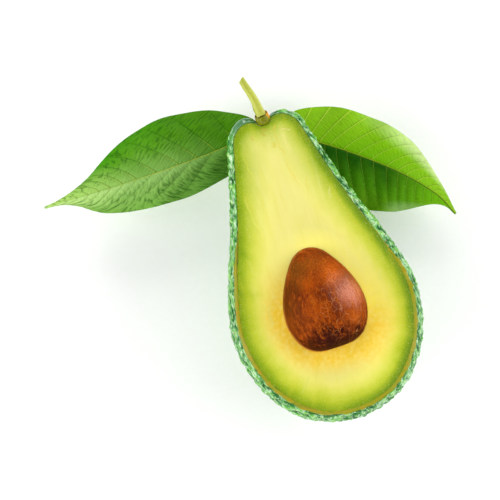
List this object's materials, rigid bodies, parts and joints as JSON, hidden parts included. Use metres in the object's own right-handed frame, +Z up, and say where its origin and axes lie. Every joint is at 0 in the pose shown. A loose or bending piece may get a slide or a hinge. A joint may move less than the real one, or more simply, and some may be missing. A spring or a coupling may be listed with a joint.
{
  "type": "avocado half",
  "caption": "Avocado cut lengthwise, lying on its back with the cut face up, with its seed, stem and leaves.",
  "frame": {"origin": "middle of the small flat spot on the back that the half rests on", "axes": "+Z up, square to the cut face; +Y along the fruit towards its stem end; +X to the right, seen from above"},
  "size_m": [0.1435, 0.1263, 0.0535],
  "materials": {
    "skin": "glossy green pebbled peel",
    "flesh": "moist cut flesh, yellow with a green edge",
    "seed": "satin brown seed coat with fine cracks",
    "stem_button": "satin olive, orange at one side",
    "stem": "matt yellow green",
    "leaf_left": "satin green leaf with raised veins",
    "leaf_right": "glossy bright green leaf with raised veins"
  },
  "bodies": {
    "root": {"skin": "skin", "flesh": "flesh", "seed": "seed", "stem_button": "stem_button", "stem": "stem", "leaf_left": "leaf_left", "leaf_right": "leaf_right"}
  },
  "joints": []
}
